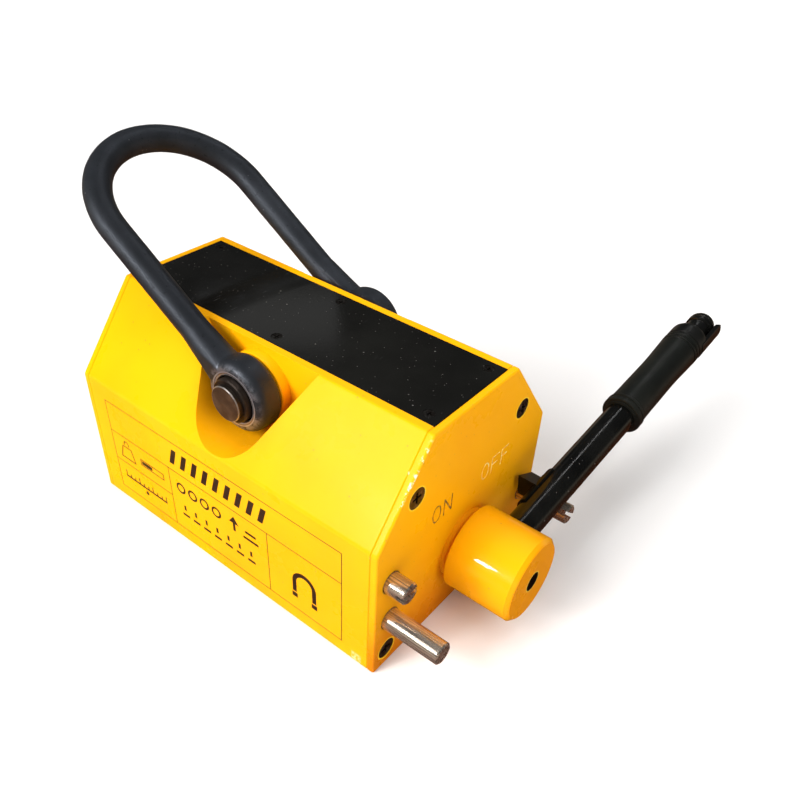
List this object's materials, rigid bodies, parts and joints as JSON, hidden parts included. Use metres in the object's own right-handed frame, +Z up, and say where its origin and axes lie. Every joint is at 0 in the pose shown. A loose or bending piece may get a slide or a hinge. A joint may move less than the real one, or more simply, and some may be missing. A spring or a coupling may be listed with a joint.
{
  "type": "lifting magnet",
  "caption": "Lever-switched permanent lifting magnet: a yellow two-pole block with a swinging shackle and a hand lever with a thumb catch that turns the rotor.",
  "frame": {"origin": "centre of the pole face, on the underside of the body", "axes": "+X along the body towards the hub and lever, +Y towards the side where the lever lies when off, +Z up towards the shackle"},
  "size_m": [0.3463, 0.3816, 0.2395],
  "materials": {
    "body_paint": "glossy safety yellow paint",
    "cover_black": "satin black",
    "shackle_steel": "black oxide, worn at the eyes",
    "pin_steel": "turned steel",
    "shackle_pin_steel": "dull turned steel",
    "screw_dark": "blackened",
    "lever_black": "gloss black",
    "grip_rubber": "matt moulded rubber",
    "guard_plastic": "satin moulded",
    "knob_plastic": "gloss moulded",
    "latch_black": "satin black",
    "magnet": "nickel plated magnet",
    "spacer_aluminium": "milled",
    "bearing_bronze": "turned bronze",
    "rotor_steel": "machined mild steel",
    "spring_steel": "drawn wire"
  },
  "bodies": {
    "body": {"near_pole": "body_paint", "far_pole": "body_paint", "front_end_plate": "body_paint", "rear_end_plate": "body_paint", "top_cover": "cover_black", "cover_screws": "screw_dark", "front_plate_screws": "screw_dark", "rear_plate_screws": "screw_dark", "bottom_spacer": "spacer_aluminium", "rotor_cover_spacer": "spacer_aluminium", "stator_magnets": "magnet", "front_bearing": "bearing_bronze", "rear_bearing": "bearing_bronze", "stop_pin_on": "pin_steel", "stop_pin_off": "pin_steel", "latch_pin": "pin_steel", "shackle_pin_near": "shackle_pin_steel", "shackle_pin_far": "shackle_pin_steel"},
    "rotor": {"rotor_pole_lever_side": "rotor_steel", "rotor_pole_back_side": "rotor_steel", "rotor_magnet": "magnet", "rotor_fillers": "spacer_aluminium", "rotor_front_shaft": "rotor_steel", "rotor_rear_shaft": "rotor_steel", "rotor_front_screws": "screw_dark", "rotor_rear_screws": "screw_dark", "hub": "body_paint", "hub_key": "rotor_steel", "hub_screw": "screw_dark", "lever_tube": "lever_black", "grip_sleeve": "grip_rubber", "end_guard": "guard_plastic", "spring_seat": "rotor_steel", "latch_spring": "spring_steel"},
    "latch": {"latch_rod": "rotor_steel", "latch_block": "latch_black", "latch_cross_pin": "rotor_steel", "push_knob": "knob_plastic"},
    "shackle": {"shackle": "shackle_steel"}
  },
  "joints": [
    {"name": "lever_turn", "type": "hinge", "parent": "body", "child": "rotor", "pos_m": [0, 0, 0.047], "axis": [1, 0, 0], "range_deg": [0, 161.4]},
    {"name": "latch_push", "type": "slide", "parent": "rotor", "child": "latch", "axis": [-0.0314, -0.9864, -0.1612], "range_m": [0, 0.012], "stiffness_N_per_m": 600, "springref_m": -0.008, "deforming": ["latch_spring"]},
    {"name": "shackle_swing", "type": "hinge", "parent": "body", "child": "shackle", "pos_m": [0, 0, 0.131], "axis": [0, 1, 0], "range_deg": [0, 115]}
  ]
}
